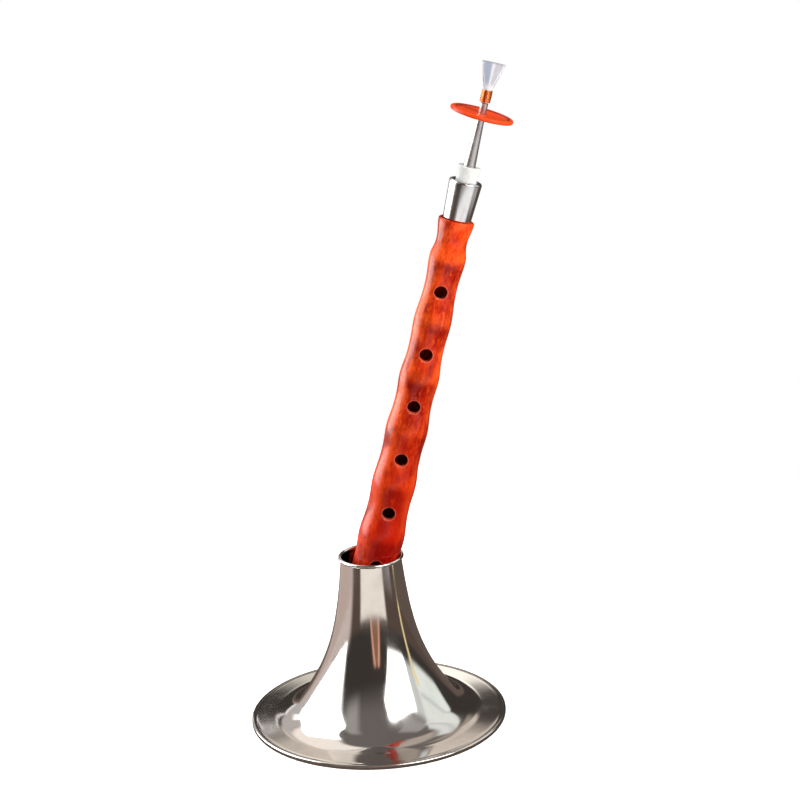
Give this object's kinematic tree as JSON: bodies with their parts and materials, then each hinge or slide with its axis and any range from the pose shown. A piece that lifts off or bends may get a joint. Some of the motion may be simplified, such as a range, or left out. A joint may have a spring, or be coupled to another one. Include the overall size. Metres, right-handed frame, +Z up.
{
  "type": "suona",
  "caption": "Double-reed horn with a ridged wooden finger-hole pipe leaning loose in the neck of its flared metal bell, topped by a tuning tube, conical staple, lip disc and bound reed.",
  "frame": {"origin": "middle of the footprint, on the floor that the bell's brim stands on", "axes": "+Z up along the bell's axis; +X towards the side that the pipe leans to, seen from the front; -Y towards the side of the finger holes"},
  "size_m": [0.15, 0.136, 0.3482],
  "materials": {
    "polished_nickel": "spun sheet, polished",
    "steel_wire": "bare drawn wire",
    "red_lacquered_wood": "orange-red gloss lacquer over turned hardwood",
    "satin_silver": "drawn tube, lightly brushed",
    "waxed_thread": "wound and waxed",
    "milky_plastic": "translucent, soft sheen",
    "red_plastic": "glossy moulded",
    "reed_plastic": "thin translucent blades, soft sheen",
    "copper_wire": "bright bare copper"
  },
  "bodies": {
    "bell": {"bell_shell": "polished_nickel", "brim_wire": "steel_wire"},
    "pipe": {"wooden_pipe": "red_lacquered_wood"},
    "tuning": {"tuning_tube": "satin_silver", "thread_wrap": "waxed_thread"},
    "staple": {"staple": "satin_silver", "staple_sleeve": "milky_plastic"},
    "disc": {"lip_disc": "red_plastic"},
    "reed": {"reed": "reed_plastic", "reed_binding": "copper_wire"}
  },
  "joints": [
    {"name": "pipe_tilt", "type": "hinge", "parent": "bell", "child": "pipe", "pos_m": [-0.00703, 0, 0.09055], "axis": [0, -1, 0], "range_deg": [0, 15.4]},
    {"name": "tuning_slide", "type": "slide", "parent": "pipe", "child": "tuning", "axis": [0.2656, 0, 0.9641], "range_m": [0, 0.01]},
    {"name": "staple_pull", "type": "slide", "parent": "tuning", "child": "staple", "axis": [0.2656, 0, 0.9641], "range_m": [0, 0.018]},
    {"name": "disc_slide", "type": "slide", "parent": "staple", "child": "disc", "axis": [0.2656, 0, 0.9641], "range_m": [-0.003, 0.004]},
    {"name": "reed_pull", "type": "slide", "parent": "staple", "child": "reed", "axis": [0.2656, 0, 0.9641], "range_m": [0, 0.01]}
  ]
}
